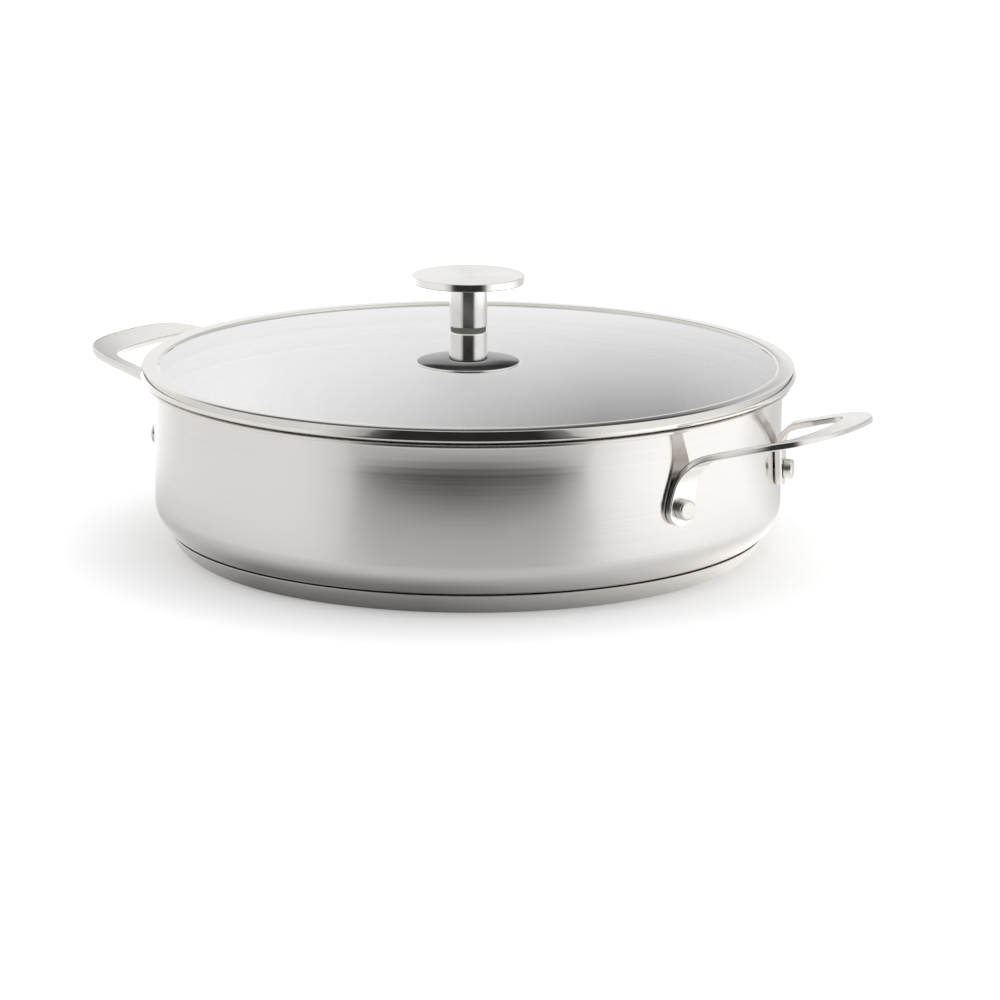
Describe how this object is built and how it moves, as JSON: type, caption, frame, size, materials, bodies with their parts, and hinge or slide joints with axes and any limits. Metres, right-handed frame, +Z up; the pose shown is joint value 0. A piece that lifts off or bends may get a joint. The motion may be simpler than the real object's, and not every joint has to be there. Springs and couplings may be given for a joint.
{
  "type": "lidded saute pan",
  "caption": "Wide low stainless pan with loop handles riveted on opposite sides, a bonded heat-spreading base and a lift-off flat glass lid with a steel rim and mushroom knob.",
  "frame": {"origin": "centre of the flat face that the pan stands on", "axes": "+X along the right handle, +Z up along the axis of the pan, +Y completes the right-handed frame"},
  "size_m": [0.389, 0.294, 0.1227],
  "materials": {
    "satin_steel": "fine brushing round the wall",
    "base_steel": "matte grey",
    "aluminium_core": "plain, hidden",
    "handle_steel": "bright satin",
    "rivet_steel": "bright",
    "polished_steel": "mirror-polished stainless",
    "fastener_steel": "plain",
    "lid_glass": "clear, polished",
    "silicone": "matte, translucent grey",
    "dark_ring": "matte dark grey"
  },
  "bodies": {
    "pan": {"pan_body": "satin_steel", "base_core": "aluminium_core", "base_cap": "base_steel", "handle_right": "handle_steel", "handle_left": "handle_steel", "rivet_right_front": "rivet_steel", "rivet_right_back": "rivet_steel", "rivet_left_front": "rivet_steel", "rivet_left_back": "rivet_steel"},
    "lid": {"lid_glass": "lid_glass", "lid_band": "polished_steel", "lid_seal": "silicone", "knob_base_plate": "polished_steel", "knob_gasket": "silicone", "knob_lower_sleeve": "polished_steel", "knob_ring": "dark_ring", "knob_upper_sleeve": "polished_steel", "knob_insert": "fastener_steel", "knob_disc": "polished_steel", "knob_screw": "fastener_steel", "glass_bush": "silicone", "under_gasket": "silicone", "under_washer": "fastener_steel"}
  },
  "joints": [
    {"name": "lid_lift", "type": "slide", "parent": "pan", "child": "lid", "axis": [0, 0, 1], "range_m": [0, 0.12]}
  ]
}
